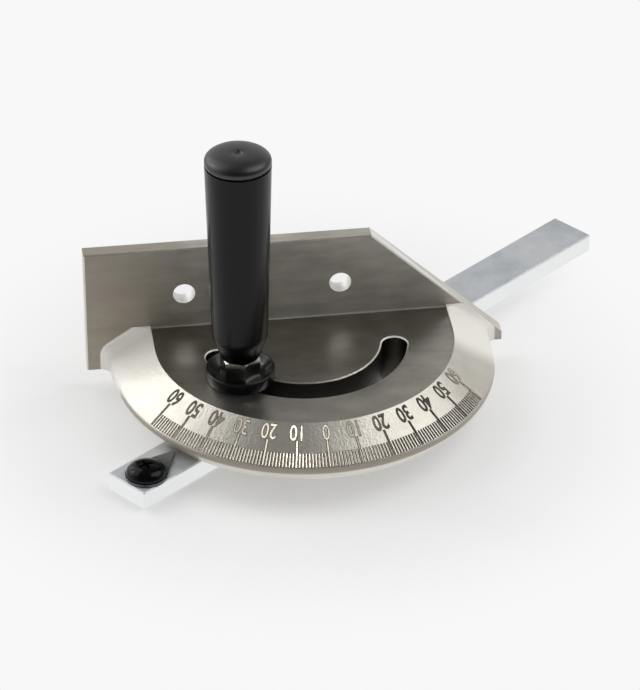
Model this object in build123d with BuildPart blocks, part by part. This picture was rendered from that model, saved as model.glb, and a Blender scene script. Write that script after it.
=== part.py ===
from build123d import *
from math import cos, radians, sin, tan
import os

# Driving dimensions, in millimetres and degrees.
# The frame: Z up from the underside of the bar, X along the fence, Y towards the work,
# and the origin on the axis that the head turns about.

# Bar, cold drawn flat stock that slides in the table's slot
bar_width = 15.875
bar_height = 6.35
bar_handle_room = 17.0  # from the scale's rim to the end under the handle
bar_work_end = 129.5  # from the pivot to the end ahead of the fence
bar_edge = 0.4
set_angle = 51.8  # the bar's angle off the fence's normal, as the head is set

# Head casting: foot, rounded lip, sloping scale and floor
head_lift = 1.2  # the casting's foot stands this far above the bar
rim_radius = 61.0  # where the scale and the tucked-under side would meet
foot_tuck = 5.3  # the foot stands this far inside the rim
rim_height = 6.0
lip_round = 1.8
side_run = 7.0  # over this length behind the pivot the tucked-under side turns upright
side_setback = 0.7  # the upright side stands this far inside rim_radius
side_round = 2.4
scale_inner_radius = 47.2
scale_slope = 33.11
floor_depth = 0.8  # the floor lies this far below the scale's inner edge
floor_thickness = 6.6
rim_wall = 4.0
draft_step = 1.4  # how much narrower the hollow is at its top

# Fence, cast in one with the head
fence_setback = 13.4  # from the pivot's axis to the fence's near face
fence_thickness = 5.3
fence_left_lap = 6.6  # the fence's ends stand this far outside the rim
fence_right_lap = 4.6
fence_height = 43.8  # above the bar
fence_slope = 43.04
fence_slope_out = 5.55  # from the scale's inner edge to the slope, at the scale's top level
fence_edge = 0.4
shoulder_fillet = 3.6
floor_fillet = 0.6

# Two holes for a facing board
facing_hole_radius = 3.5
facing_hole_spacing = 49.6
facing_hole_middle = -11.5
facing_hole_height = 27.3  # above the bar

# Curved slot for the clamp stud
slot_radius = 28.4
slot_width = 8.2
slot_reach = 78.0  # each way from the middle to the centre of the slot's end
slot_wall = 3.0
slot_edge = 0.4

# Boss and ribs under the floor
boss_radius = 9.0
rib_thickness = 2.6
rib_lift = 1.6  # the ribs end this far above the foot
rib_angles = (-165, -130, -90, -50, -15)
running_gap = 0.1  # between the boss and the bar
overrun = 1.0  # how far a cut runs past the surface it opens

# Pivot screw, countersunk in the underside of the bar
pivot_radius = 3.0
pivot_clearance = 0.05
pivot_head_radius = 5.6
pivot_recess = 0.3
pivot_depth = 9.6  # above the bar
pivot_end_room = 1.0

# Clamp stud, fixed in the bar
stud_radius = 3.1
stud_recess = 0.5
stud_end_room = 1.0
stud_clearance = 0.05
thread_clearance = 0.02

# Dished lock washer under the handle
washer_radius = 10.7
washer_height = 3.6
washer_thickness = 1.2  # under the nut, in the dished middle
washer_seat_radius = 7.0
washer_rim = 0.7
washer_clearance = 0.3
seat_gap = 0.05

# Handle: hexagon insert, moulded grip and domed cap
nut_flats = 11.11
nut_height = 6.8
nut_chamfer = 0.7
nut_face_step = 0.15
nut_stem_radius = 4.4
nut_stem_length = 14.0
nut_bore_depth = 17.0
grip_foot_radius = 6.0
grip_foot_height = 7.5
grip_low_radius = 8.7
grip_blend = 8.0
grip_top_radius = 10.2
grip_length = 68.0
cap_groove = 0.6
cap_groove_depth = 0.5
cap_height = 4.3
cap_crown_radius = 5.5  # flat middle of the cap's low dome
cap_shoulder_radius = 8.7
cap_shoulder_fall = 0.8
cap_side_fall = 2.4
cap_fit = 0.02
cap_dimple_radius = 1.3
cap_dimple_depth = 0.4
cap_dimple_slope = 0.3
cap_plug_radius = 3.2
cap_plug_length = 7.0

# Pointer and its screw
pointer_inset = 7.0  # from the bar's end to the pointer's screw
pointer_offset = 1.7  # the screw stands this far off the bar's centre line
pointer_turn = 10.0  # turned this far off the bar's direction
pointer_end_radius = 6.5
pointer_gap = 0.5  # from the pointer's tip to the casting's foot
pointer_tip_round = 0.3
pointer_thickness = 1.0
screw_radius = 2.9
screw_head_radius = 6.2
screw_head_height = 3.2
screw_depth = 4.8
screw_brim = 1.5

# Levels and places that follow from the dimensions
foot_radius = rim_radius - foot_tuck
bar_handle_end = rim_radius + bar_handle_room
bar_top = bar_height
foot_z = bar_top + head_lift
scale_low_z = foot_z + rim_height
scale_rise = (rim_radius - scale_inner_radius) * tan(radians(scale_slope))
scale_top_z = scale_low_z + scale_rise
side_x = rim_radius - side_setback
side_z = scale_low_z + side_setback * scale_rise / (rim_radius - scale_inner_radius)
floor_z = scale_top_z - floor_depth
under_z = floor_z - floor_thickness
washer_z = floor_z + seat_gap
nut_z = washer_z + washer_thickness + seat_gap
grip_z = nut_z + nut_height
cap_z = grip_z + grip_length
cap_top = cap_z + cap_height
fence_left = rim_radius + fence_left_lap
fence_right = rim_radius + fence_right_lap
fence_top = bar_top + fence_height
slope_x = scale_inner_radius + fence_slope_out
fence_top_right = slope_x - (fence_top - scale_top_z) / tan(radians(fence_slope))
fence_tip_z = scale_top_z - (fence_right - slope_x) * tan(radians(fence_slope))
nut_corner = nut_flats / 2 / cos(radians(30))
screw_seat_z = bar_top + 2 * seat_gap + pointer_thickness
screw_top_z = screw_seat_z + screw_head_height
pointer_at = bar_handle_end - pointer_inset
pointer_reach = pointer_at - foot_radius - pointer_gap
bar_plane = Plane(
    origin=(0, 0, 0),
    x_dir=(sin(radians(set_angle)), cos(radians(set_angle)), 0),
    z_dir=(0, 0, 1),
)
stud_plane = Plane(
    origin=bar_plane.from_local_coords((-slot_radius, 0, 0)),
    x_dir=bar_plane.x_dir,
    z_dir=(0, 0, 1),
)
pointer_plane = Plane(
    origin=bar_plane.from_local_coords((-pointer_at, -pointer_offset, bar_top)),
    x_dir=bar_plane.x_dir.rotate(Axis.Z, pointer_turn),
    z_dir=(0, 0, 1),
)
stud_axis = Axis(stud_plane.origin, (0, 0, 1))
stud_upright = Plane(origin=stud_plane.origin, x_dir=(1, 0, 0), z_dir=(0, -1, 0))
pointer_axis = Axis(pointer_plane.origin, (0, 0, 1))
pointer_upright = Plane(
    origin=bar_plane.from_local_coords((-pointer_at, -pointer_offset, 0)),
    x_dir=(1, 0, 0),
    z_dir=(0, -1, 0),
)
slot_line = CenterArc((0, 0), slot_radius, -90 - slot_reach, 2 * slot_reach)
os.makedirs("parts", exist_ok=True)


with BuildPart() as bar:
    with BuildSketch(bar_plane):
        with Locations(((bar_work_end - bar_handle_end) / 2, 0)):
            Rectangle(bar_work_end + bar_handle_end, bar_width)
    extrude(amount=bar_height)
    chamfer(bar.edges(), bar_edge)
    with BuildSketch(Plane.XZ):
        with BuildLine():
            Polyline(
                (0, 0),
                (pivot_head_radius + pivot_clearance, 0),
                (pivot_head_radius + pivot_clearance, pivot_recess),
                (pivot_radius + pivot_clearance, pivot_recess + pivot_head_radius - pivot_radius),
                (pivot_radius + pivot_clearance, bar_height),
                (0, bar_height),
                close=True,
            )
        make_face()
    revolve(axis=Axis.Z, mode=Mode.SUBTRACT)
    with BuildSketch(stud_plane):
        Circle(stud_radius + thread_clearance)
    extrude(amount=bar_height, mode=Mode.SUBTRACT)
    with BuildSketch(pointer_plane):
        Circle(screw_radius + thread_clearance)
    extrude(amount=-screw_depth - thread_clearance, mode=Mode.SUBTRACT)
bar.part.label = "bar"
export_step(bar.part, "parts/bar.step")

with BuildPart() as head:
    # Half section of the casting, turned for the round front
    with BuildSketch(Plane.XZ) as rim_half:
        with BuildLine():
            Polyline(
                (0, scale_top_z),
                (scale_inner_radius, scale_top_z),
                (rim_radius, scale_low_z),
                (foot_radius, foot_z),
                (0, foot_z),
                close=True,
            )
        make_face()
        fillet(rim_half.vertices().sort_by(Axis.X)[-1], lip_round)
    revolve(axis=Axis.Z, revolution_arc=-180)
    # Behind the round front the tucked-under side turns upright, and runs on to the fence
    with BuildSketch(Plane.XZ) as tucked_section:
        add(rim_half.sketch)
        mirror(about=Plane.YZ)
    with BuildSketch(Plane.XZ.offset(-side_run)) as upright_section:
        with BuildLine():
            Polyline(
                (0, scale_top_z),
                (scale_inner_radius, scale_top_z),
                (side_x, side_z),
                (side_x, foot_z),
                (0, foot_z),
                close=True,
            )
        make_face()
        fillet(upright_section.vertices().group_by(Axis.X)[-1].sort_by(Axis.Y)[-1], side_round)
        mirror(about=Plane.YZ)
    loft(sections=(tucked_section.sketch, upright_section.sketch), ruled=True)
    extrude(to_extrude=upright_section.sketch, amount=-(fence_setback - side_run))
    # Fence plate, still square at both ends
    with BuildSketch(Plane.XZ.offset(-fence_setback)):
        with BuildLine():
            Polyline(
                (-fence_left, foot_z),
                (-fence_left, fence_top),
                (fence_right, fence_top),
                (fence_right, foot_z),
                close=True,
            )
        make_face()
    extrude(amount=-fence_thickness)
    # Where the rim's sides run into the fence
    joint_edges = head.edges().filter_by(
        lambda edge: abs(edge.bounding_box().min.Y - fence_setback) < 0.001
        and abs(edge.bounding_box().max.Y - fence_setback) < 0.001
        and scale_inner_radius < abs(edge.center().X) < rim_radius
        and foot_z + 0.01 < edge.center().Z < scale_top_z - 0.01
    )
    fillet(joint_edges, shoulder_fillet)
    # The fence's right end slopes down, with the top of the fillet trimmed along it
    with BuildSketch(Plane.XZ.offset(-fence_setback - fence_thickness)):
        with BuildLine():
            Polyline(
                (fence_top_right, fence_top),
                (fence_right, fence_tip_z),
                (fence_right + overrun, fence_tip_z),
                (fence_right + overrun, fence_top + overrun),
                (fence_top_right, fence_top + overrun),
                close=True,
            )
        make_face()
    extrude(amount=fence_thickness + shoulder_fillet, mode=Mode.SUBTRACT)
    # Long edges of the fence's two faces that reach its top, the slope's with them
    fence_rim = head.edges().filter_by(
        lambda edge: edge.bounding_box().max.Z > fence_top - 0.001
        and abs(edge.center().Y - fence_setback - fence_thickness / 2) > fence_thickness / 2 - 0.001
    )
    chamfer(fence_rim, fence_edge)
    # Recessed floor, with a small round where it meets the fence
    with BuildSketch(Plane.XY.offset(floor_z)):
        with BuildLine():
            CenterArc((0, 0), scale_inner_radius, 180, 180)
            Polyline(
                (scale_inner_radius, 0),
                (scale_inner_radius, fence_setback),
                (-scale_inner_radius, fence_setback),
                (-scale_inner_radius, 0),
            )
        make_face()
    extrude(amount=floor_depth + overrun, mode=Mode.SUBTRACT)
    floor_joint = head.edges().filter_by(
        lambda edge: abs(edge.center().Y - fence_setback) < 0.001
        and abs(edge.center().Z - floor_z) < 0.001
        and edge.length > scale_inner_radius
    )
    fillet(floor_joint, floor_fillet)
    # Hollow underside
    with BuildSketch(Plane.XZ) as hollow_half:
        with BuildLine():
            Polyline(
                (0, under_z),
                (scale_inner_radius - rim_wall - draft_step, under_z),
                (foot_radius - rim_wall, scale_low_z - rim_wall / 2),
                (foot_radius - rim_wall, foot_z - overrun),
                (0, foot_z - overrun),
                close=True,
            )
        make_face()
    revolve(axis=Axis.Z, revolution_arc=-180, mode=Mode.SUBTRACT)
    with BuildSketch(Plane.XZ):
        add(hollow_half.sketch)
        mirror(about=Plane.YZ)
    extrude(amount=-fence_setback, mode=Mode.SUBTRACT)
    # Ribs from the boss to the rim
    with BuildSketch(Plane.XY.offset(foot_z + rib_lift)):
        for rib_angle in rib_angles:
            with Locations(Location((0, 0, 0), (0, 0, rib_angle))):
                Rectangle(foot_radius - rim_wall / 2, rib_thickness, align=(Align.MIN, Align.CENTER))
        with Locations((0, fence_setback / 2)):
            Rectangle(rib_thickness, fence_setback)
    extrude(until=Until.NEXT)
    # Wall round the slot, and the boss, both running on the bar
    with BuildSketch(Plane.XY.offset(bar_top + running_gap)):
        SlotArc(slot_line, slot_width + 2 * slot_wall)
        Circle(boss_radius)
    extrude(amount=under_z - bar_top - running_gap + overrun)
    with BuildSketch(Plane.XY.offset(bar_top)):
        SlotArc(slot_line, slot_width)
    extrude(amount=floor_z, mode=Mode.SUBTRACT)
    slot_mouth = head.edges().filter_by(
        lambda edge: abs(edge.bounding_box().min.Z - floor_z) < 0.001
        and abs(edge.bounding_box().max.Z - floor_z) < 0.001
        and edge.bounding_box().max.Y < 0
        and edge.bounding_box().min.Y > -slot_radius - slot_width
    )
    chamfer(slot_mouth, slot_edge)
    # Threaded hole for the pivot screw
    with BuildSketch(Plane.XY.offset(bar_top)):
        Circle(pivot_radius + thread_clearance)
    extrude(amount=pivot_depth + pivot_end_room, mode=Mode.SUBTRACT)
    # Holes for a facing board
    with BuildSketch(Plane.XZ.offset(-fence_setback - fence_thickness)):
        with Locations((facing_hole_middle, bar_top + facing_hole_height)):
            with GridLocations(facing_hole_spacing, 1, 2, 1):
                Circle(facing_hole_radius)
    extrude(amount=fence_thickness, mode=Mode.SUBTRACT)
head.part.label = "head"
export_step(head.part, "parts/head.step")

with BuildPart() as pivot_screw:
    with BuildSketch(Plane.XZ):
        with BuildLine():
            Polyline(
                (0, pivot_recess),
                (pivot_head_radius, pivot_recess),
                (pivot_radius, pivot_recess + pivot_head_radius - pivot_radius),
                (pivot_radius, bar_top + pivot_depth),
                (0, bar_top + pivot_depth),
                close=True,
            )
        make_face()
    revolve(axis=Axis.Z)
pivot_screw.part.label = "pivot_screw"
export_step(pivot_screw.part, "parts/pivot_screw.step")

with BuildPart() as clamp_stud:
    with BuildSketch(stud_plane.offset(stud_recess)):
        Circle(stud_radius)
    extrude(amount=nut_z + nut_bore_depth - stud_end_room - stud_recess)
clamp_stud.part.label = "clamp_stud"
export_step(clamp_stud.part, "parts/clamp_stud.step")

with BuildPart() as lock_washer:
    with BuildSketch(stud_upright):
        with BuildLine():
            Polyline(
                (stud_radius + washer_clearance, washer_z),
                (washer_radius, washer_z),
                (washer_radius, washer_z + washer_height),
                (washer_radius - washer_rim, washer_z + washer_height),
                (washer_seat_radius, washer_z + washer_thickness),
                (stud_radius + washer_clearance, washer_z + washer_thickness),
                close=True,
            )
        make_face()
    revolve(axis=stud_axis)
lock_washer.part.label = "lock_washer"
export_step(lock_washer.part, "parts/lock_washer.step")

with BuildPart() as handle_nut:
    with BuildSketch(stud_plane.offset(nut_z)):
        RegularPolygon(nut_flats / 2, 6, major_radius=False)
    extrude(amount=nut_height)
    # The top of the hexagon is turned down to a cone
    with BuildSketch(stud_upright):
        with BuildLine():
            Polyline(
                (0, nut_z),
                (nut_corner, nut_z),
                (nut_corner, grip_z - nut_chamfer),
                (nut_flats / 2 - nut_face_step, grip_z),
                (0, grip_z),
                close=True,
            )
        make_face()
    revolve(axis=stud_axis, mode=Mode.INTERSECT)
    with BuildSketch(stud_plane.offset(grip_z)):
        Circle(nut_stem_radius)
    extrude(amount=nut_stem_length)
    with BuildSketch(stud_plane.offset(nut_z)):
        Circle(stud_radius + stud_clearance)
    extrude(amount=nut_bore_depth, mode=Mode.SUBTRACT)
handle_nut.part.label = "handle_nut"
export_step(handle_nut.part, "parts/handle_nut.step")

with BuildPart() as handle_grip:
    with BuildSketch(stud_upright) as grip_half:
        with BuildLine():
            Polyline(
                (nut_stem_radius, grip_z),
                (nut_stem_radius, grip_z + nut_stem_length),
                (0, grip_z + nut_stem_length),
                (0, cap_z - cap_plug_length),
                (cap_plug_radius, cap_z - cap_plug_length),
                (cap_plug_radius, cap_z),
                (grip_top_radius, cap_z),
                (grip_low_radius, grip_z + grip_foot_height),
                (grip_foot_radius, grip_z),
                close=True,
            )
        make_face()
        knee = grip_half.vertices().sort_by_distance((grip_low_radius, grip_z + grip_foot_height))[0]
        fillet(knee, grip_blend)
    revolve(axis=stud_axis)
handle_grip.part.label = "handle_grip"
export_step(handle_grip.part, "parts/handle_grip.step")

with BuildPart() as handle_cap:
    with BuildSketch(stud_upright):
        with BuildLine():
            Polyline(
                (cap_dimple_radius, cap_top),
                (cap_dimple_radius - cap_dimple_slope, cap_top - cap_dimple_depth),
                (0, cap_top - cap_dimple_depth),
                (0, cap_z - cap_plug_length + cap_fit),
                (cap_plug_radius - cap_fit, cap_z - cap_plug_length + cap_fit),
                (cap_plug_radius - cap_fit, cap_z),
                (grip_top_radius - cap_groove_depth, cap_z),
                (grip_top_radius - cap_groove_depth, cap_z + cap_groove),
                (grip_top_radius, cap_z + cap_groove),
                (grip_top_radius, cap_top - cap_side_fall),
                (cap_shoulder_radius, cap_top - cap_shoulder_fall),
                (cap_crown_radius, cap_top),
                close=True,
            )
        make_face()
    revolve(axis=stud_axis)
handle_cap.part.label = "handle_cap"
export_step(handle_cap.part, "parts/handle_cap.step")

with BuildPart() as pointer:
    with BuildSketch(pointer_plane.offset(seat_gap)):
        with BuildLine():
            CenterArc((0, 0), pointer_end_radius, 0, 360)
            CenterArc((pointer_reach - pointer_tip_round, 0), pointer_tip_round, 0, 360)
        make_hull()
        Circle(screw_radius + stud_clearance, mode=Mode.SUBTRACT)
    extrude(amount=pointer_thickness)
pointer.part.label = "pointer"
export_step(pointer.part, "parts/pointer.step")

with BuildPart() as pointer_screw:
    with BuildSketch(pointer_upright) as screw_half:
        with BuildLine():
            Polyline(
                (0, screw_top_z),
                (0, bar_top - screw_depth),
                (screw_radius, bar_top - screw_depth),
                (screw_radius, screw_seat_z),
                (screw_head_radius, screw_seat_z),
                (screw_head_radius, screw_top_z),
                close=True,
            )
        make_face()
        brim = screw_half.vertices().group_by(Axis.X)[-1].sort_by(Axis.Y)[-1]
        chamfer(brim, screw_brim)
    revolve(axis=pointer_axis)
pointer_screw.part.label = "pointer_screw"
export_step(pointer_screw.part, "parts/pointer_screw.step")
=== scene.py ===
import bmesh
import bpy
from math import cos, degrees, pi, radians, sin
from mathutils import Matrix, Vector


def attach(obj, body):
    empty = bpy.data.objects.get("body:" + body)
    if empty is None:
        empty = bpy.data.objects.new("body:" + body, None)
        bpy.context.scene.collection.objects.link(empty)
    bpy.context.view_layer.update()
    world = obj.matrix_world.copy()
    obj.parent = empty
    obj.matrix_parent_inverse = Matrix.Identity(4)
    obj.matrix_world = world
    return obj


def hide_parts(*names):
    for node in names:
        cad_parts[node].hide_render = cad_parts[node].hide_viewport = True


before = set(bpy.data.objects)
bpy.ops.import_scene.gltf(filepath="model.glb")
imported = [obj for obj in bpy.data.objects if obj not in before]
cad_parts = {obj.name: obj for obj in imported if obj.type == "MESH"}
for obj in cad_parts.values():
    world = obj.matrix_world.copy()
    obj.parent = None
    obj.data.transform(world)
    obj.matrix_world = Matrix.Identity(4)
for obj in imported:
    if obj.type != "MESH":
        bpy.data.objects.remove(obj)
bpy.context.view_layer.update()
mm = 0.001

# Upright axes and the pointer's height in mm, and the bar's turn from X in degrees
handleAxis = (-22.3181, -17.5628)
screwAxis = (-54.7446, -45.2429)
pointerLevel = 6.9
barTurn = 38.2


# Small helpers

def colour(hexText):
    # sRGB hex to the linear values that the shaders take
    channels = [int(hexText[i:i + 2], 16) / 255 for i in (1, 3, 5)]
    return tuple(c / 12.92 if c <= 0.04045 else ((c + 0.055) / 1.055) ** 2.4 for c in channels) + (1.0,)


def addNode(tree, kind, values={}, links={}, **settings):
    # A Mix node for colours takes its factor at 0 and its colours at 6 and 7, and gives output 2
    node = tree.nodes.new("ShaderNode" + kind)
    for name, value in settings.items():
        setattr(node, name, value)
    for socket, value in values.items():
        node.inputs[socket].default_value = value
    for socket, source in links.items():
        tree.links.new(source, node.inputs[socket])
    return node


def newMaterial(name):
    material = bpy.data.materials.new(name)
    material.use_nodes = True
    tree = material.node_tree
    tree.nodes.clear()
    return material, tree


def finishMaterial(tree, shader):
    addNode(tree, "OutputMaterial", links={"Surface": shader.outputs[0]})


def setRamp(node, stops):
    ramp = node.color_ramp
    while len(ramp.elements) < len(stops):
        ramp.elements.new(0.5)
    for element, (place, shade) in zip(ramp.elements, stops):
        element.position = place
        element.color = colour(shade)


def newPiece(name, bm, body, material, smooth=True):
    mesh = bpy.data.meshes.new(name)
    for face in bm.faces:
        face.smooth = smooth
    bm.to_mesh(mesh)
    bm.free()
    piece = bpy.data.objects.new(name, mesh)
    bpy.context.scene.collection.objects.link(piece)
    mesh.materials.append(material)
    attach(piece, body)
    return piece


def plainObject(name, bm):
    # An object with a mesh that isn't a piece of the gauge
    mesh = bpy.data.meshes.new(name)
    bm.to_mesh(mesh)
    bm.free()
    holder = bpy.data.objects.new(name, mesh)
    bpy.context.scene.collection.objects.link(holder)
    return holder


def bakedMesh(holder):
    # The mesh that an object has once its text or its modifiers are worked out
    bpy.context.view_layer.update()
    return bpy.data.meshes.new_from_object(holder.evaluated_get(bpy.context.evaluated_depsgraph_get()))


def sharpen(bm, sharpAngle):
    # Edges that turn by this many degrees or more shade as corners
    for edge in bm.edges:
        edge.smooth = len(edge.link_faces) == 2 and edge.calc_face_angle(0) < radians(sharpAngle)


def dressedCopy(name, node, body, material, sharpAngle=24):
    # A merged copy of a CAD node, so that its curved faces shade smoothly
    bm = bmesh.new()
    bm.from_mesh(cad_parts[node].data)
    bmesh.ops.remove_doubles(bm, verts=bm.verts[:], dist=0.002 * mm)
    sharpen(bm, sharpAngle)
    piece = newPiece(name, bm, body, material)
    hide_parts(node)
    return piece


def spinProfile(profile, axis, steps=72):
    # A half section (radius and height in mm) turned about an upright axis
    bm = bmesh.new()
    verts = [bm.verts.new(((axis[0] + radius) * mm, axis[1] * mm, height * mm)) for radius, height in profile]
    edges = [bm.edges.new(pair) for pair in zip(verts, verts[1:])]
    bmesh.ops.spin(bm, geom=verts + edges, cent=(axis[0] * mm, axis[1] * mm, 0), axis=(0, 0, 1),
                   angle=2 * pi, steps=steps, use_merge=True)
    bmesh.ops.remove_doubles(bm, verts=bm.verts[:], dist=0.001 * mm)
    bmesh.ops.recalc_face_normals(bm, faces=bm.faces[:])
    return bm


# Materials, each named for what it really is

def drawnSteel():
    # Cold drawn bright bar: fine lines along its length, grey smudges from hands, a cool sheen
    material, tree = newMaterial("drawnSteel")
    coordinates = addNode(tree, "TexCoord")
    place = coordinates.outputs["Object"]
    # Real drawing lines are about 0.02 mm apart; these are over ten times as coarse, to show
    alongBar = addNode(tree, "Mapping", {"Rotation": (0, 0, radians(-barTurn)), "Scale": (12, 900, 900)},
                       {"Vector": place})
    lines = addNode(tree, "TexNoise", {"Scale": 4.0, "Detail": 3.0}, {"Vector": alongBar.outputs[0]})
    bump = addNode(tree, "Bump", {"Strength": 0.25, "Distance": 0.02 * mm}, {"Height": lines.outputs["Fac"]})
    smudge = addNode(tree, "TexNoise", {"Scale": 70.0, "Detail": 5.0, "Roughness": 0.62}, {"Vector": place})
    tone = addNode(tree, "ValToRGB", {}, {"Fac": smudge.outputs["Fac"]})
    setRamp(tone, [(0.3, "#c9cdd1"), (0.48, "#dcdfe2"), (0.75, "#e8eaec")])
    gloss = addNode(tree, "MapRange", {"From Min": 0.25, "From Max": 0.75, "To Min": 0.4, "To Max": 0.28},
                    {"Value": smudge.outputs["Fac"]})
    # The top of the end under the pointer is made far less metallic, so it renders as a whiter satin: painted
    # light for the brighter look of that end
    position = addNode(tree, "SeparateXYZ", {}, {"Vector": place})
    facing = addNode(tree, "SeparateXYZ", {}, {"Vector": coordinates.outputs["Normal"]})
    litEndMask = addNode(tree, "MapRange", {"From Min": -18 * mm, "From Max": -36 * mm},
                      {"Value": position.outputs["Y"]}, interpolation_type="SMOOTHSTEP")
    litTopMask = addNode(tree, "Math", {}, {0: litEndMask.outputs[0], 1: facing.outputs["Z"]},
                     operation="MULTIPLY", use_clamp=True)
    shine = addNode(tree, "MapRange", {"To Min": 0.9, "To Max": 0.36}, {"Value": litTopMask.outputs[0]})
    # The narrow sides are painted an even pale grey in place of the smudged top tone: painted light for their
    # brighter look
    litSides = addNode(tree, "Mix", {6: colour("#f5f7f7")}, {0: facing.outputs["Z"], 7: tone.outputs[0]},
                    data_type="RGBA", clamp_factor=True)
    shader = addNode(tree, "BsdfPrincipled", {},
                     {"Base Color": litSides.outputs[2], "Metallic": shine.outputs[0],
                      "Roughness": gloss.outputs[0], "Normal": bump.outputs[0]})
    finishMaterial(tree, shader)
    return material


def castAlloy(name, dark, light, metallic, roughness, grain, rim=None):
    # Bead blasted cast aluminium alloy: an even satin with a pebbled grain of 0.4 to 0.8 mm
    material, tree = newMaterial(name)
    place = addNode(tree, "TexCoord").outputs["Object"]
    cloud = addNode(tree, "TexNoise", {"Scale": 45.0, "Detail": 4.0, "Roughness": 0.6}, {"Vector": place})
    tone = addNode(tree, "ValToRGB", {}, {"Fac": cloud.outputs["Fac"]})
    setRamp(tone, [(0.32, dark), (0.68, light)])
    pebbles = addNode(tree, "TexNoise", {"Scale": 1300.0, "Detail": 3.0, "Roughness": 0.6}, {"Vector": place})
    bump = addNode(tree, "Bump", {"Strength": grain, "Distance": 0.17 * mm},
                   {"Height": pebbles.outputs["Fac"]})
    shader = addNode(tree, "BsdfPrincipled", {"Metallic": metallic, "Roughness": roughness},
                     {"Base Color": tone.outputs[0], "Normal": bump.outputs[0]})
    if rim:
        dressRim(tree, place, tone, shader, metallic, rim)
    finishMaterial(tree, shader)
    return material


def dressRim(tree, place, tone, shader, metallic, rim):
    # Past the lines the rim's outer band is coloured a darker tan; the shoulders by the fence are made duller
    # and painted paler: painted light for their bright look
    flat = addNode(tree, "VectorMath", {1: (1, 1, 0)}, {0: place}, operation="MULTIPLY")
    radius = addNode(tree, "VectorMath", {}, {0: flat.outputs[0]}, operation="LENGTH")
    position = addNode(tree, "SeparateXYZ", {}, {"Vector": place})
    outside = addNode(tree, "MapRange", {"From Min": rim["bandFrom"] * mm, "From Max": rim["bandTo"] * mm},
                      {"Value": radius.outputs["Value"]})
    nearEnd = addNode(tree, "MapRange", {"From Min": rim["paleFrom"] * mm, "From Max": rim["paleTo"] * mm},
                      {"Value": position.outputs["Y"]}, interpolation_type="SMOOTHSTEP")
    notFence = addNode(tree, "Math", {1: rim["paleEnd"] * mm}, {0: position.outputs["Y"]},
                       operation="LESS_THAN")
    pale = addNode(tree, "Math", {}, {0: nearEnd.outputs[0], 1: notFence.outputs[0]}, operation="MULTIPLY")
    away = addNode(tree, "Math", {0: 1.0}, {1: nearEnd.outputs[0]}, operation="SUBTRACT")
    tan = addNode(tree, "Math", {}, {0: outside.outputs[0], 1: away.outputs[0]}, operation="MULTIPLY")
    tanned = addNode(tree, "Mix", {7: colour(rim["bandShade"])}, {0: tan.outputs[0], 6: tone.outputs[0]},
                     data_type="RGBA")
    paled = addNode(tree, "Mix", {7: colour(rim["paleShade"])}, {0: pale.outputs[0], 6: tanned.outputs[2]},
                    data_type="RGBA")
    dull = addNode(tree, "Math", {}, {0: tan.outputs[0], 1: pale.outputs[0]}, operation="MAXIMUM")
    metal = addNode(tree, "MapRange", {"To Min": metallic, "To Max": rim["dullMetallic"]},
                    {"Value": dull.outputs[0]})
    tree.links.new(paled.outputs[2], shader.inputs["Base Color"])
    tree.links.new(metal.outputs[0], shader.inputs["Metallic"])


# The brown stain at the -X end, in mm: where it starts to fade, where it ends, and how ragged it is
fenceStain = {"shade": "#908575", "from": -34, "to": -14, "ragged": 30}


def milledAlloy(name, dark, light, metallic, roughness, streakScale, warmth):
    # Fly cut aluminium alloy left to dull: faint streaks across it and warm grey stains
    material, tree = newMaterial(name)
    place = addNode(tree, "TexCoord").outputs["Object"]
    stretch = addNode(tree, "Mapping", {"Scale": streakScale}, {"Vector": place})
    streaks = addNode(tree, "TexNoise", {"Scale": 5.0, "Detail": 5.0, "Roughness": 0.6},
                      {"Vector": stretch.outputs[0]})
    stains = addNode(tree, "TexNoise", {"Scale": 32.0, "Detail": 5.0, "Roughness": 0.65}, {"Vector": place})
    half = addNode(tree, "Math", {1: 0.5}, {0: streaks.outputs["Fac"]}, operation="MULTIPLY")
    both = addNode(tree, "Math", {1: 0.5}, {0: stains.outputs["Fac"], 2: half.outputs[0]},
                   operation="MULTIPLY_ADD")
    tone = addNode(tree, "ValToRGB", {}, {"Fac": both.outputs[0]})
    setRamp(tone, [(0.38, dark), (0.62, light)])
    # The end at -X is browner and paler, with an upright border that the stains make ragged
    position = addNode(tree, "SeparateXYZ", {}, {"Vector": place})
    ragged = addNode(tree, "Math", {1: fenceStain["ragged"] * mm},
                     {0: stains.outputs["Fac"], 2: position.outputs["X"]}, operation="MULTIPLY_ADD")
    warm = addNode(tree, "MapRange", {"From Min": fenceStain["from"] * mm, "From Max": fenceStain["to"] * mm,
                                      "To Min": warmth, "To Max": 0.0},
                   {"Value": ragged.outputs[0]}, interpolation_type="SMOOTHSTEP")
    stained = addNode(tree, "Mix", {7: colour(fenceStain["shade"])}, {0: warm.outputs[0], 6: tone.outputs[0]},
                      data_type="RGBA")
    bump = addNode(tree, "Bump", {"Strength": 0.2, "Distance": 0.03 * mm}, {"Height": streaks.outputs["Fac"]})
    shader = addNode(tree, "BsdfPrincipled", {"Metallic": metallic, "Roughness": roughness},
                     {"Base Color": stained.outputs[2], "Normal": bump.outputs[0]})
    finishMaterial(tree, shader)
    return material


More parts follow.
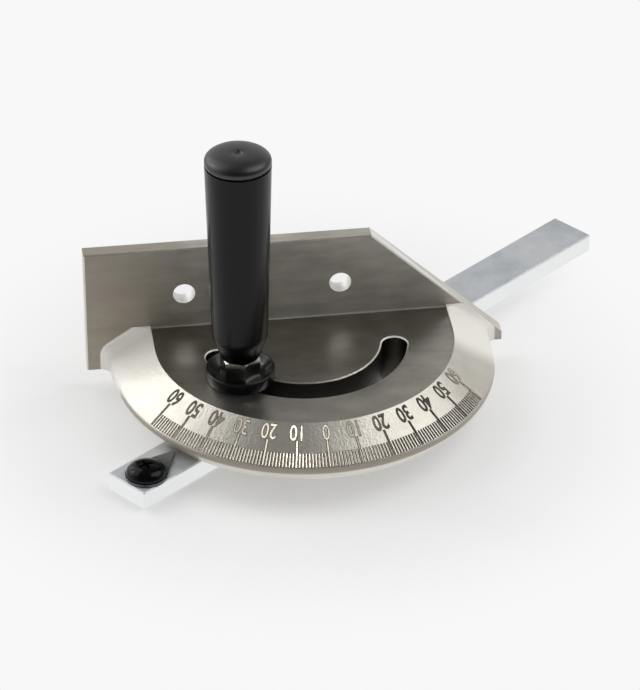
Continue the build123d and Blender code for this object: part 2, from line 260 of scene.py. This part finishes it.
def struckMark():
    # Struck lines and figures: the walls of real grooves face sideways and mirror another part of
    # the room than the rim does. These marks have flat tops, so their shading is turned instead
    material, tree = newMaterial("struckMark")
    coordinates = addNode(tree, "TexCoord")
    wear = addNode(tree, "TexNoise", {"Scale": 700.0, "Detail": 3.0},
                   {"Vector": coordinates.outputs["Object"]})
    tone = addNode(tree, "ValToRGB", {}, {"Fac": wear.outputs["Fac"]})
    setRamp(tone, [(0.35, "#a89f90"), (0.65, "#c2baab")])
    sideways = addNode(tree, "VectorRotate", {"Angle": radians(-55)},
                       {"Vector": coordinates.outputs["Normal"]}, rotation_type="Z_AXIS")
    facing = addNode(tree, "VectorTransform", {}, {"Vector": sideways.outputs[0]}, vector_type="NORMAL",
                     convert_from="OBJECT", convert_to="WORLD")
    shader = addNode(tree, "BsdfPrincipled", {"Metallic": 0.87, "Roughness": 0.27},
                     {"Base Color": tone.outputs[0], "Normal": facing.outputs[0]})
    finishMaterial(tree, shader)
    return material


def markDirt():
    # Brown grime that has gathered along every line and figure, matt and nearly black
    material, tree = newMaterial("markDirt")
    place = addNode(tree, "TexCoord").outputs["Object"]
    patch = addNode(tree, "TexNoise", {"Scale": 900.0, "Detail": 2.0}, {"Vector": place})
    tone = addNode(tree, "ValToRGB", {}, {"Fac": patch.outputs["Fac"]})
    setRamp(tone, [(0.35, "#211c16"), (0.65, "#3b332a")])
    shader = addNode(tree, "BsdfPrincipled", {"Roughness": 0.7}, {"Base Color": tone.outputs[0]})
    finishMaterial(tree, shader)
    return material


def mouldedPlastic(name, shade, roughness, grain, refraction):
    # Black phenolic, moulded and wiped: a soft sheen with a faint orange peel
    material, tree = newMaterial(name)
    place = addNode(tree, "TexCoord").outputs["Object"]
    peel = addNode(tree, "TexNoise", {"Scale": 420.0, "Detail": 3.0}, {"Vector": place})
    bump = addNode(tree, "Bump", {"Strength": grain, "Distance": 0.04 * mm}, {"Height": peel.outputs["Fac"]})
    wipe = addNode(tree, "TexNoise", {"Scale": 60.0, "Detail": 4.0}, {"Vector": place})
    gloss = addNode(tree, "MapRange", {"From Min": 0.3, "From Max": 0.7, "To Min": roughness - 0.05,
                                       "To Max": roughness + 0.07}, {"Value": wipe.outputs["Fac"]})
    shader = addNode(tree, "BsdfPrincipled", {"Base Color": colour(shade), "IOR": refraction},
                     {"Roughness": gloss.outputs[0], "Normal": bump.outputs[0]})
    finishMaterial(tree, shader)
    return material


def nickelPlate():
    # Bright nickel on the turned hexagon: mirror-like with a faint warm green cast
    material, tree = newMaterial("nickelPlate")
    place = addNode(tree, "TexCoord").outputs["Object"]
    haze = addNode(tree, "TexNoise", {"Scale": 300.0, "Detail": 3.0}, {"Vector": place})
    gloss = addNode(tree, "MapRange", {"To Min": 0.12, "To Max": 0.24}, {"Value": haze.outputs["Fac"]})
    shader = addNode(tree, "BsdfPrincipled", {"Base Color": colour("#e2e4d9"), "Metallic": 1.0},
                     {"Roughness": gloss.outputs[0]})
    finishMaterial(tree, shader)
    return material


def blackOxide(name, roughness, coat, refraction):
    # Black oxide on steel, oiled: nearly black with crisp highlights
    material, tree = newMaterial(name)
    place = addNode(tree, "TexCoord").outputs["Object"]
    patch = addNode(tree, "TexNoise", {"Scale": 500.0, "Detail": 3.0}, {"Vector": place})
    tone = addNode(tree, "ValToRGB", {}, {"Fac": patch.outputs["Fac"]})
    setRamp(tone, [(0.3, "#060607"), (0.7, "#0e0e10")])
    gloss = addNode(tree, "MapRange", {"To Min": roughness - 0.05, "To Max": roughness + 0.08},
                    {"Value": patch.outputs["Fac"]})
    shader = addNode(tree, "BsdfPrincipled", {"Coat Weight": coat, "Coat Roughness": 0.1, "IOR": refraction},
                     {"Base Color": tone.outputs[0], "Roughness": gloss.outputs[0]})
    finishMaterial(tree, shader)
    return material


def bluedSheet():
    # Blued spring steel: dark slate round its screw, turning to a cool grey sheen towards the tip
    material, tree = newMaterial("bluedSheet")
    place = addNode(tree, "TexCoord").outputs["Object"]
    patch = addNode(tree, "TexNoise", {"Scale": 160.0, "Detail": 4.0}, {"Vector": place})
    tone = addNode(tree, "ValToRGB", {}, {"Fac": patch.outputs["Fac"]})
    setRamp(tone, [(0.3, "#a3a7ab"), (0.7, "#b9bcbf")])
    screwPlace = (screwAxis[0] * mm, screwAxis[1] * mm, pointerLevel * mm)
    reach = addNode(tree, "VectorMath", {1: screwPlace}, {0: place}, operation="DISTANCE")
    awayFromScrew = addNode(tree, "MapRange", {"From Min": 4.5 * mm, "From Max": 14.5 * mm},
                   {"Value": reach.outputs["Value"]})
    darkRoundScrew = addNode(tree, "Mix", {6: colour("#2c3036")}, {0: awayFromScrew.outputs[0], 7: tone.outputs[0]},
                    data_type="RGBA")
    shader = addNode(tree, "BsdfPrincipled", {"Metallic": 1.0, "Roughness": 0.34},
                     {"Base Color": darkRoundScrew.outputs[2]})
    finishMaterial(tree, shader)
    return material


def turnedSteel():
    # Plain turned steel of the stud and the pivot screw, with fine rings from the lathe
    material, tree = newMaterial("turnedSteel")
    place = addNode(tree, "TexCoord").outputs["Object"]
    squeeze = addNode(tree, "Mapping", {"Scale": (30, 30, 2500)}, {"Vector": place})
    rings = addNode(tree, "TexNoise", {"Scale": 2.0, "Detail": 2.0}, {"Vector": squeeze.outputs[0]})
    bump = addNode(tree, "Bump", {"Strength": 0.3, "Distance": 0.02 * mm}, {"Height": rings.outputs["Fac"]})
    shader = addNode(tree, "BsdfPrincipled",
                     {"Base Color": colour("#a9a9a8"), "Metallic": 1.0, "Roughness": 0.35},
                     {"Normal": bump.outputs[0]})
    finishMaterial(tree, shader)
    return material


# Places on the rim in mm: radii for the darker tan outer band, and Y for the pale shoulders, which end at the
# fence; the shoulders' paleness is painted light
rimBandAndLitShoulders = {
    "bandFrom": 59.6, "bandTo": 60.0, "bandShade": "#a39b8c",
    "paleFrom": -14.0, "paleTo": -4.0, "paleEnd": 13.3, "paleShade": "#f8f5ed", "dullMetallic": 0.12,
}

steel = drawnSteel()
casting = castAlloy("castAlloy", "#c8c3b8", "#ddd9cf", 0.76, 0.35, 0.8, rimBandAndLitShoulders)
fenceFinish = milledAlloy("milledFence", "#a09c93", "#bfbbb0", 0.4, 0.45, (12, 60, 60), 0.6)
floorFinish = milledAlloy("milledFloor", "#9d9991", "#bab6ad", 1.0, 0.31, (16, 40, 40), 0)
# Nearly black: painted shade for the walls of the deep slot
slotShade = castAlloy("slotShade", "#34312d", "#4a4640", 1.0, 0.5, 0.8)
# A near-white finish for the fence's sloping edge: a painted highlight
edgeHighlight = castAlloy("edgeHighlight", "#efebe3", "#f7f5f0", 0.6, 0.4, 0.2)
boreFinish = castAlloy("boredHole", "#e9e7e2", "#f6f5f2", 0.4, 0.4, 1.0)
marks = struckMark()
dirt = markDirt()
gripPlastic = mouldedPlastic("gripPlastic", "#020203", 0.24, 0.4, 1.31)
capPlastic = mouldedPlastic("capPlastic", "#161617", 0.34, 0.15, 1.6)
nickel = nickelPlate()
washerOxide = blackOxide("washerOxide", 0.22, 0.1, 1.4)
screwOxide = blackOxide("screwOxide", 0.12, 0, 1.26)
blued = bluedSheet()
turned = turnedSteel()
print("materials made")


# The casting: a merged copy of the CAD head, with its machined faces in their own finish

headCut = {
    "fenceFace": 13.4, "fenceBack": 18.7, "fenceTop": 50.15, "floorLevel": 21.75, "scaleInner": 47.2,
    "slotNear": 24.0, "slotFar": 32.8, "boreLow": 26.0, "boreHigh": 48.0, "boreReach": 45.0,
    "onFace": 0.05, "onFillet": 0.9, "onEdge": 0.6, "straight": 0.99, "upright": 0.1, "inBore": 0.3,
}


def headFinish(face):
    # The finish of one face, by its place in mm and the way it looks
    middle = face.center / mm
    looks = face.normal
    fromPivot = Vector((middle.x, middle.y)).length
    fromFence = abs(middle.y - headCut["fenceFace"])
    fromBack = abs(middle.y - headCut["fenceBack"])
    fromFloor = abs(middle.z - headCut["floorLevel"])

    # The rounded edge of the fence's sloping end, painted pale as a highlight
    onEdge = fromFence < headCut["onEdge"] and middle.z > headCut["floorLevel"]
    if onEdge and -0.95 < looks.y < -0.3 and looks.x > 0.2:
        return edgeHighlight

    # The fillet between the fence and the floor
    onFillet = fromFence < headCut["onFillet"] and fromFloor < headCut["onFillet"]
    if onFillet and fromPivot < headCut["scaleInner"] and -0.99 < looks.y < -0.05:
        return fenceFinish

    # The fence's two holes
    inFence = headCut["fenceFace"] < middle.y < headCut["fenceBack"]
    atHoles = headCut["boreLow"] < middle.z < headCut["boreHigh"] and abs(middle.x) < headCut["boreReach"]
    if inFence and atHoles and abs(looks.y) < headCut["inBore"]:
        return boreFinish

    # The curved slot's walls, painted nearly black as painted shade for the deep slot
    atSlot = headCut["slotNear"] < fromPivot < headCut["slotFar"] and middle.z < headCut["floorLevel"]
    if atSlot and abs(looks.z) < headCut["upright"]:
        return slotShade

    if looks.z > headCut["straight"] and fromFloor < headCut["onFace"]:
        return floorFinish
    if looks.z > headCut["straight"] and middle.z > headCut["fenceTop"] - headCut["onFace"]:
        return fenceFinish
    if abs(looks.y) > headCut["straight"] and min(fromFence, fromBack) < headCut["onFace"]:
        return fenceFinish
    return casting


headPiece = dressedCopy("casting", "head", "head", casting)
headFinishes = [casting, fenceFinish, floorFinish, slotShade, boreFinish, edgeHighlight]
for finish in headFinishes[1:]:
    headPiece.data.materials.append(finish)
for face in headPiece.data.polygons:
    face.material_index = headFinishes.index(headFinish(face))
print("casting dressed")


# Scale: degree lines and figures on the cone of the rim, with the dirt along them

scale = {
    "coneInner": 47.2, "coneTop": 22.55, "coneOuter": 61.0, "coneLow": 13.55, "reach": 60,
    "lineOuter": 59.5, "degreeInner": 55.7, "tenInner": 52.3,
    "degreeWidth": 0.36, "tenWidth": 0.5, "crown": 0.9, "proud": 0.06, "sunk": 0.03, "tenProud": 0.01,
    "figureMiddle": 49.8, "figureHeight": 5.2, "figureNarrow": 0.68, "figureBold": 0.02,
    "fontSize": 1.38,    # the built-in font's size over the height of its figures
    "degreeDirt": 0.24, "tenDirt": 0.34, "figureDirt": 0.21, "dirtProud": 0.025, "dirtPast": 0.1,
}
slope = Vector((scale["coneOuter"] - scale["coneInner"], scale["coneLow"] - scale["coneTop"]))
slopeAngle = abs(slope.angle_signed(Vector((1, 0))))


def onScale(radius, bearing, proud):
    # A point on the rim's cone, with bearing in degrees from the zero line, which looks along -Y
    height = scale["coneTop"] + (radius - scale["coneInner"]) * slope.y / slope.x
    outward = Vector((sin(radians(bearing)), -cos(radians(bearing)), 0))
    rise = Vector((0, 0, (height + proud * cos(slopeAngle)) * mm))
    return outward * (radius + proud * sin(slopeAngle)) * mm + rise


def scaleLines(name, inner, width, crown, proud, spacing, material, shift=0):
    # One low ridge, laid on the cone and repeated round the rim every spacing degrees
    bm = bmesh.new()
    bmesh.ops.create_cube(bm, size=1.0)
    bmesh.ops.translate(bm, vec=(0, 0, 0.5), verts=bm.verts[:])
    bmesh.ops.scale(bm, vec=(crown, 1, 1), verts=[vert for vert in bm.verts if vert.co.z > 0.5])
    length = (scale["lineOuter"] - inner) / cos(slopeAngle)
    middle = (scale["lineOuter"] + inner) / 2
    tilt = Matrix.Rotation(slopeAngle, 3, "X")
    start = Matrix.Rotation(radians(-scale["reach"]), 3, "Z")
    bmesh.ops.scale(bm, vec=(width * mm, length * mm, (proud + scale["sunk"]) * mm), verts=bm.verts[:])
    bmesh.ops.translate(bm, vec=(0, 0, -scale["sunk"] * mm), verts=bm.verts[:])
    bmesh.ops.rotate(bm, cent=(0, 0, 0), matrix=tilt, verts=bm.verts[:])
    bmesh.ops.translate(bm, vec=onScale(middle, 0, 0) + Vector((shift * mm, 0, 0)), verts=bm.verts[:])
    bmesh.ops.rotate(bm, cent=(0, 0, 0), matrix=start, verts=bm.verts[:])
    bmesh.ops.spin(bm, geom=bm.verts[:] + bm.edges[:] + bm.faces[:], cent=(0, 0, 0), axis=(0, 0, 1),
                   angle=radians(2 * scale["reach"]), steps=2 * scale["reach"] // spacing, use_duplicate=True)
    return newPiece(name, bm, "head", material, smooth=False)


def scaleFigures(name, bold, proud, material):
    # The number of every tenth degree, bent to the cone, with its top outwards
    figures = bmesh.new()
    for bearing in range(-scale["reach"], scale["reach"] + 1, 10):
        text = bpy.data.curves.new("figure", "FONT")
        text.body = str(abs(bearing))
        text.size = scale["figureHeight"] * scale["fontSize"] * mm
        text.align_x = "CENTER"
        text.align_y = "CENTER"
        text.offset = bold * mm
        text.extrude = proud * mm
        text.resolution_u = 4
        holder = bpy.data.objects.new("figure", text)
        bpy.context.scene.collection.objects.link(holder)
        flat = bakedMesh(holder)
        bpy.data.objects.remove(holder)
        one = bmesh.new()
        one.from_mesh(flat)
        for vert in one.verts:
            across = -vert.co.x * scale["figureNarrow"] / mm
            outward = vert.co.y / mm * cos(slopeAngle)
            turn = bearing + degrees(across / scale["figureMiddle"])
            vert.co = onScale(scale["figureMiddle"] + outward, turn, min(vert.co.z / mm, proud))
        one.to_mesh(flat)
        figures.from_mesh(flat)
        one.free()
    bmesh.ops.recalc_face_normals(figures, faces=figures.faces[:])
    return newPiece(name, figures, "head", material, smooth=False)


scaleLines("degreeLines", scale["degreeInner"], scale["degreeWidth"], scale["crown"],
           scale["proud"], 1, marks)
scaleLines("tenLines", scale["tenInner"], scale["tenWidth"], scale["crown"],
           scale["proud"] + scale["tenProud"], 10, marks)
scaleLines("degreeDirt", scale["degreeInner"] - scale["dirtPast"], scale["degreeWidth"] + scale["degreeDirt"],
           1, scale["dirtProud"], 1, dirt, scale["degreeDirt"] / 2)
scaleLines("tenDirt", scale["tenInner"] - scale["dirtPast"], scale["tenWidth"] + scale["tenDirt"], 1,
           scale["dirtProud"] + scale["tenProud"], 10, dirt)
scaleFigures("figures", scale["figureBold"], scale["proud"], marks)
scaleFigures("figureDirt", scale["figureDirt"], scale["dirtProud"], dirt)
print("scale struck")


# The other carried-over pieces

dressedCopy("guideBar", "bar", "bar", steel)
dressedCopy("gripHandle", "handle_grip", "handle", gripPlastic)
dressedCopy("hexFoot", "handle_nut", "handle", nickel)
dressedCopy("pointerBlade", "pointer", "pointer", blued)
dressedCopy("studRod", "clamp_stud", "bar", turned)
dressedCopy("pivotPin", "pivot_screw", "head", turned)
print("other pieces dressed")


# Domed cap of the handle, turned, with its groove and the dimple in its crown

cap = {
    "profile": [(0, 90.87), (3.18, 90.87), (3.18, 97.85), (9.7, 97.85), (9.7, 98.4), (9.8, 98.47),
                (10.1, 98.47), (10.2, 98.55), (10.2, 99.6), (10.05, 100.1), (9.65, 100.6), (8.95, 101.1),
                (7.9, 101.52), (6.5, 101.84), (4.9, 102.04), (3.2, 102.13), (1.75, 102.149), (1.45, 102.1),
                (1.2, 101.9), (0.9, 101.77), (0, 101.75)],
}
capDome = newPiece("capDome", spinProfile(cap["profile"], handleAxis), "handle", capPlastic)
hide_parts("handle_cap")

# Dished washer under the grip, turned, with a rounded lip that catches the light

washer = {
    "profile": [(4.3, 21.8), (10.5, 21.8), (10.65, 21.85), (10.7, 21.98), (10.7, 25.0), (10.66, 25.18),
                (10.54, 25.32), (10.36, 25.39), (10.2, 25.4), (10.04, 25.35), (9.88, 25.22), (9.4, 24.78),
                (8.7, 24.2), (7.9, 23.6), (7.3, 23.2), (6.9, 23.03), (6.7, 23.0), (4.3, 23.0), (4.3, 21.8)],
}
dishWasher = newPiece("dishWasher", spinProfile(washer["profile"], handleAxis), "bar",
                      washerOxide)
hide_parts("lock_washer")

# Domed screw over the pointer, with a cross recess whose arms narrow downwards

screw = {
    "profile": [(0, 1.55), (2.9, 1.55), (2.9, 7.45), (6.0, 7.45), (6.2, 7.6), (6.2, 8.1), (6.05, 8.6),
                (5.6, 9.2), (4.9, 9.75), (3.9, 10.2), (2.7, 10.5), (1.4, 10.63), (0, 10.65)],
    "armLength": 5.4, "armWidth": 1.15, "armFoot": 0.45, "depth": 2.6, "above": 1.0, "turn": 20,
    "sharpAngle": 35,
}
screwBlank = plainObject("screwBlank", spinProfile(screw["profile"], screwAxis))
armSize = (screw["armLength"] * mm, screw["armWidth"] * mm, (screw["depth"] + screw["above"]) * mm)
headTop = screw["profile"][-1][1]
recessMiddle = (headTop + (screw["above"] - screw["depth"]) / 2) * mm
recess = bmesh.new()
for quarter in (0, 90):
    arm = bmesh.ops.create_cube(recess, size=1.0)["verts"]
    foot = [vert for vert in arm if vert.co.z < 0]
    turn = Matrix.Rotation(radians(quarter + screw["turn"]), 3, "Z")
    bmesh.ops.scale(recess, vec=(screw["armFoot"], screw["armFoot"], 1), verts=foot)
    bmesh.ops.scale(recess, vec=armSize, verts=arm)
    bmesh.ops.rotate(recess, cent=(0, 0, 0), matrix=turn, verts=arm)
bmesh.ops.translate(recess, vec=(screwAxis[0] * mm, screwAxis[1] * mm, recessMiddle), verts=recess.verts[:])
recessTool = plainObject("recessTool", recess)
cut = screwBlank.modifiers.new("recess", "BOOLEAN")
cut.operation = "DIFFERENCE"
cut.object = recessTool
cut.use_self = True
cutScrew = bmesh.new()
cutScrew.from_mesh(bakedMesh(screwBlank))
for holder in (screwBlank, recessTool):
    bpy.data.objects.remove(holder)
sharpen(cutScrew, screw["sharpAngle"])
crossScrew = newPiece("crossScrew", cutScrew, "bar", screwOxide)
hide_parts("pointer_screw")
print("cap and screw turned")


# Floor, light and camera

# The shadow fades out between the radii near and far, in mm; size is the sheet's side in metres
floorLook = {"shade": "#f8f8f8", "shadowShade": "#f2f2f2", "glow": 0.38, "near": 75, "far": 130, "size": 6.0}


def paperFloor():
    # Seamless white paper: takes the shadow near the object, and is plain backdrop further off
    material, tree = newMaterial("paperFloor")
    place = addNode(tree, "TexCoord").outputs["Object"]
    distance = addNode(tree, "VectorMath", {}, {0: place}, operation="LENGTH")
    fade = addNode(tree, "MapRange", {"From Min": floorLook["near"] * mm, "From Max": floorLook["far"] * mm},
                   {"Value": distance.outputs["Value"]}, interpolation_type="SMOOTHSTEP")
    share = addNode(tree, "MapRange", {"To Min": floorLook["glow"], "To Max": 1.0},
                    {"Value": fade.outputs[0]})
    rays = addNode(tree, "LightPath")
    seen = addNode(tree, "Math", {},
                   {0: rays.outputs["Is Camera Ray"], 1: rays.outputs["Is Transmission Ray"]},
                   operation="MAXIMUM")
    direct = addNode(tree, "Math", {}, {0: share.outputs[0], 1: seen.outputs[0]}, operation="MULTIPLY")
    amount = addNode(tree, "Math", {}, {0: direct.outputs[0], 1: rays.outputs["Is Glossy Ray"]},
                     operation="MAXIMUM")
    paper = addNode(tree, "BsdfDiffuse", {"Color": colour(floorLook["shadowShade"])})
    glow = addNode(tree, "Emission", {"Color": colour(floorLook["shade"]), "Strength": 1.0})
    mix = addNode(tree, "MixShader", {}, {"Fac": amount.outputs[0], 1: paper.outputs[0], 2: glow.outputs[0]})
    finishMaterial(tree, mix)
    return material


sheet = bmesh.new()
bmesh.ops.create_grid(sheet, x_segments=1, y_segments=1, size=floorLook["size"] / 2)
paperSweep = plainObject("paperSweep", sheet)
paperSweep.data.materials.append(paperFloor())

# What polished faces mirror: a room that is dark overhead and behind the camera, and dimmer to the right
room = {
    "shade": "#f8f8f8", "fill": 0.52,
    "ceiling": {"From Min": 0.3, "From Max": 0.85, "To Min": 1.0, "To Max": 0.06},
    "behindCamera": {"From Min": -0.75, "From Max": 0.1, "To Min": 0.1, "To Max": 1.0},
    "rightWall": {"From Min": 0.52, "From Max": 0.74, "To Min": 1.0, "To Max": 0.58},
}


def studioWorld():
    world = bpy.data.worlds.new("studio")
    world.use_nodes = True
    tree = world.node_tree
    tree.nodes.clear()
    rays = addNode(tree, "LightPath")
    direction = addNode(tree, "TexCoord").outputs["Generated"]
    toward = addNode(tree, "SeparateXYZ", {}, {"Vector": direction})
    ceiling = addNode(tree, "MapRange", room["ceiling"], {"Value": toward.outputs["Z"]},
                      interpolation_type="SMOOTHSTEP")
    behindCamera = addNode(tree, "MapRange", room["behindCamera"], {"Value": toward.outputs["Y"]},
                           interpolation_type="SMOOTHSTEP")
    rightWall = addNode(tree, "MapRange", room["rightWall"], {"Value": toward.outputs["X"]},
                        interpolation_type="SMOOTHSTEP")
    sides = addNode(tree, "Math", {}, {0: behindCamera.outputs[0], 1: rightWall.outputs[0]},
                    operation="MULTIPLY")
    mirrored = addNode(tree, "Math", {}, {0: ceiling.outputs[0], 1: sides.outputs[0]}, operation="MULTIPLY")
    backdrop = addNode(tree, "Background", {"Color": colour(room["shade"]), "Strength": 1.0})
    walls = addNode(tree, "Background", {"Color": colour(room["shade"])}, {"Strength": mirrored.outputs[0]})
    fill = addNode(tree, "Background", {"Color": colour(room["shade"]), "Strength": room["fill"]})
    glossy = addNode(tree, "Math", {},
                     {0: rays.outputs["Is Glossy Ray"], 1: rays.outputs["Is Transmission Ray"]},
                     operation="MAXIMUM")
    lit = addNode(tree, "MixShader", {}, {"Fac": glossy.outputs[0], 1: fill.outputs[0], 2: walls.outputs[0]})
    whole = addNode(tree, "MixShader", {},
                    {"Fac": rays.outputs["Is Camera Ray"], 1: lit.outputs[0], 2: backdrop.outputs[0]})
    addNode(tree, "OutputWorld", links={"Surface": whole.outputs[0]})
    return world


bpy.context.scene.world = studioWorld()

# Places and sizes in metres, power in watts
softBoxes = {
    "leftBox": {"place": (-1.4, 1.16, 1.5), "size": (2.2, 2.2), "power": 21},
    "leftStrip": {"place": (-1.35, 1.0, 1.45), "size": (0.1, 0.4), "power": 2.2},
    "rightBox": {"place": (1.15, 0.08, 1.7), "size": (1.42, 1.42), "power": 13.2},
}
lampAim = (0, 0, 0.02)
for name, box in softBoxes.items():
    lamp = bpy.data.lights.new(name, "AREA")
    lamp.shape = "RECTANGLE"
    lamp.size = box["size"][0]
    lamp.size_y = box["size"][1]
    lamp.energy = box["power"]
    lampObject = bpy.data.objects.new(name, lamp)
    lampObject.location = box["place"]
    lampObject.rotation_euler = (Vector(box["place"]) - Vector(lampAim)).to_track_quat("Z", "Y").to_euler()
    bpy.context.scene.collection.objects.link(lampObject)

view = {
    "place": (-0.139505, -1.041380, 0.711949), "turn": (56.66678, -0.07833, -7.89808), "lens": 208.6957,
    "sensor": 36, "shiftX": -0.0041716, "shiftY": -0.0041181, "farthest": 50,
}
camera = bpy.data.cameras.new("camera")
camera.sensor_width = view["sensor"]
camera.lens = view["lens"]
camera.shift_x = view["shiftX"]
camera.shift_y = view["shiftY"]
camera.clip_end = view["farthest"]
cameraObject = bpy.data.objects.new("camera", camera)
cameraObject.location = view["place"]
cameraObject.rotation_euler = [radians(angle) for angle in view["turn"]]
bpy.context.scene.collection.objects.link(cameraObject)
bpy.context.scene.camera = cameraObject
bpy.context.scene.view_settings.view_transform = "Standard"
print("stage set")
